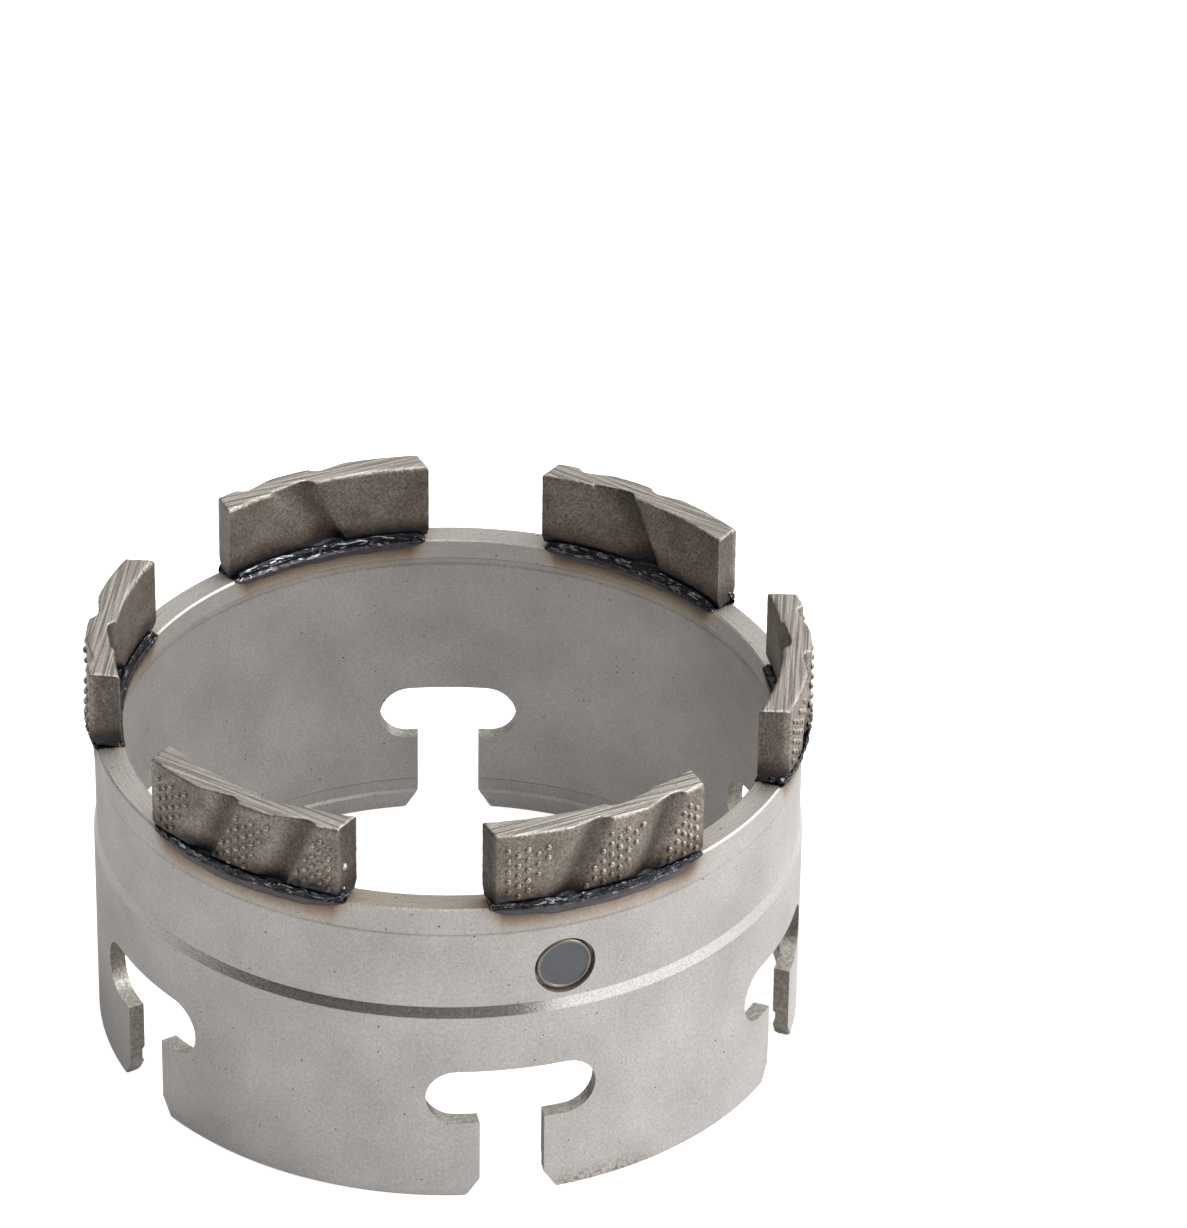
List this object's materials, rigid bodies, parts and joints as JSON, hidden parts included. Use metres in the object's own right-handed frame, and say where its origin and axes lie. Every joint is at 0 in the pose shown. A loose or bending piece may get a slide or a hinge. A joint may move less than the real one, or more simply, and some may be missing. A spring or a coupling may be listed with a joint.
{
  "type": "core drill bit crown",
  "caption": "Thin steel ring with T-shaped bayonet slots at one end and brazed diamond segments standing on the other.",
  "frame": {"origin": "centre of the ring at its slotted end, on the surface that the crown stands on", "axes": "+Z along the ring's axis towards the cutting edge, -Y towards the viewer of the picture"},
  "size_m": [0.082, 0.0812, 0.0478],
  "materials": {
    "ring_steel": "matte, fine blasted",
    "segment_metal": "sintered, rough",
    "braze_metal": "glossy, oxidised dark",
    "magnet_plating": "plated, satin face"
  },
  "bodies": {
    "root": {"crown_ring": "ring_steel", "segment_1": "segment_metal", "segment_2": "segment_metal", "segment_3": "segment_metal", "segment_4": "segment_metal", "segment_5": "segment_metal", "segment_6": "segment_metal", "braze_1": "braze_metal", "braze_2": "braze_metal", "braze_3": "braze_metal", "braze_4": "braze_metal", "braze_5": "braze_metal", "braze_6": "braze_metal", "magnet": "magnet_plating"}
  },
  "joints": []
}
